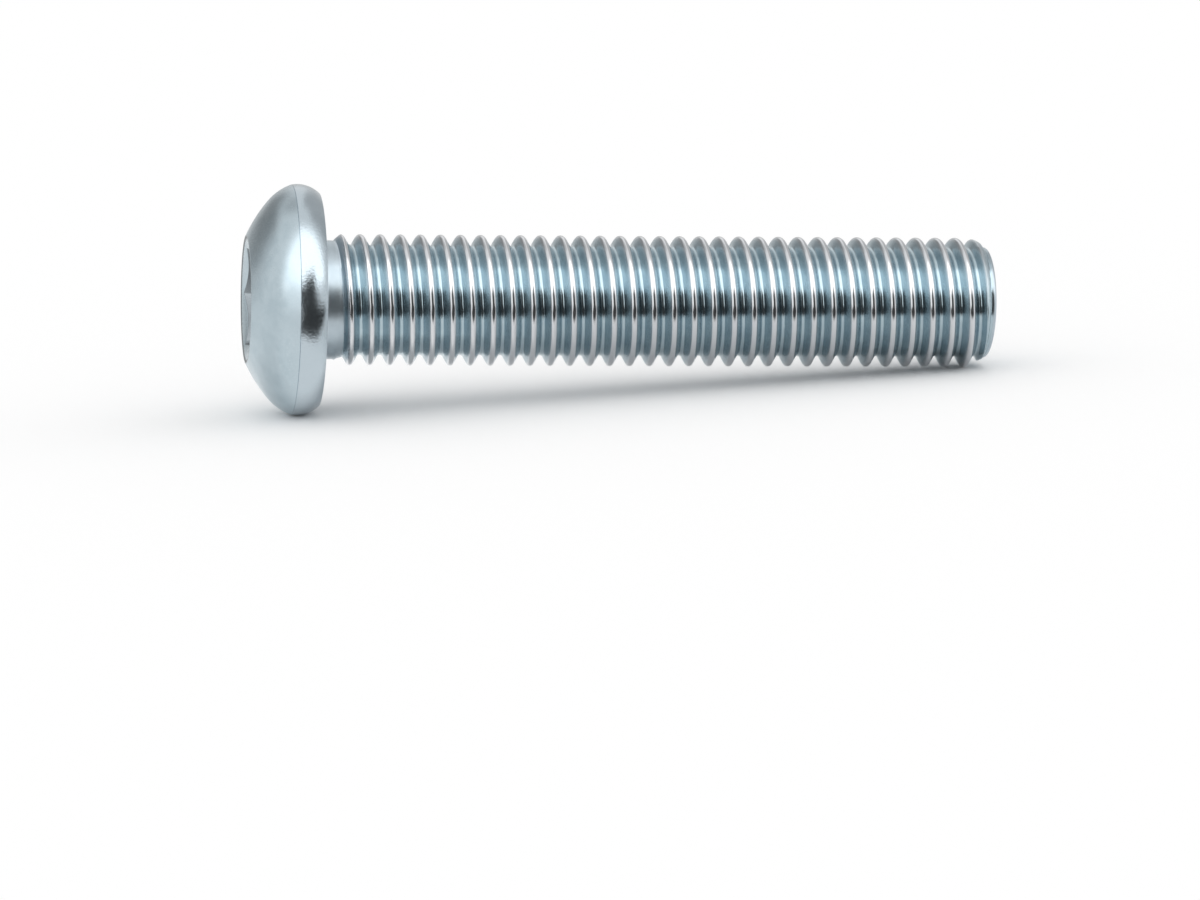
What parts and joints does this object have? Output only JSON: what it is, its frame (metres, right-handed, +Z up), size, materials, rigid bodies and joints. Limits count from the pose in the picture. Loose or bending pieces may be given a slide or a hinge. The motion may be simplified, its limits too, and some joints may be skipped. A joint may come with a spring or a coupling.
{
  "type": "button head socket screw",
  "caption": "Button head screw with a hexagon socket in its domed head and a coarse right-hand thread along the whole shank, lying on its side.",
  "frame": {"origin": "bottom centre of the bounding box of the screw as it lies: the rim of the head and the round of the end touch Z = 0", "axes": "+X along the screw from head to end, +Z up. The screw's own axis lies in the XZ plane and slopes down towards +X by 4.18 degrees, because the head is wider than the thread. Two of the socket's flats face up and down."},
  "size_m": [0.0564, 0.017, 0.0171],
  "materials": {
    "zinc_plate": "bright zinc plate with a clear blue passivate: satin on the head, brighter on the rolled thread"
  },
  "bodies": {
    "root": {"socket_screw": "zinc_plate"}
  },
  "joints": []
}
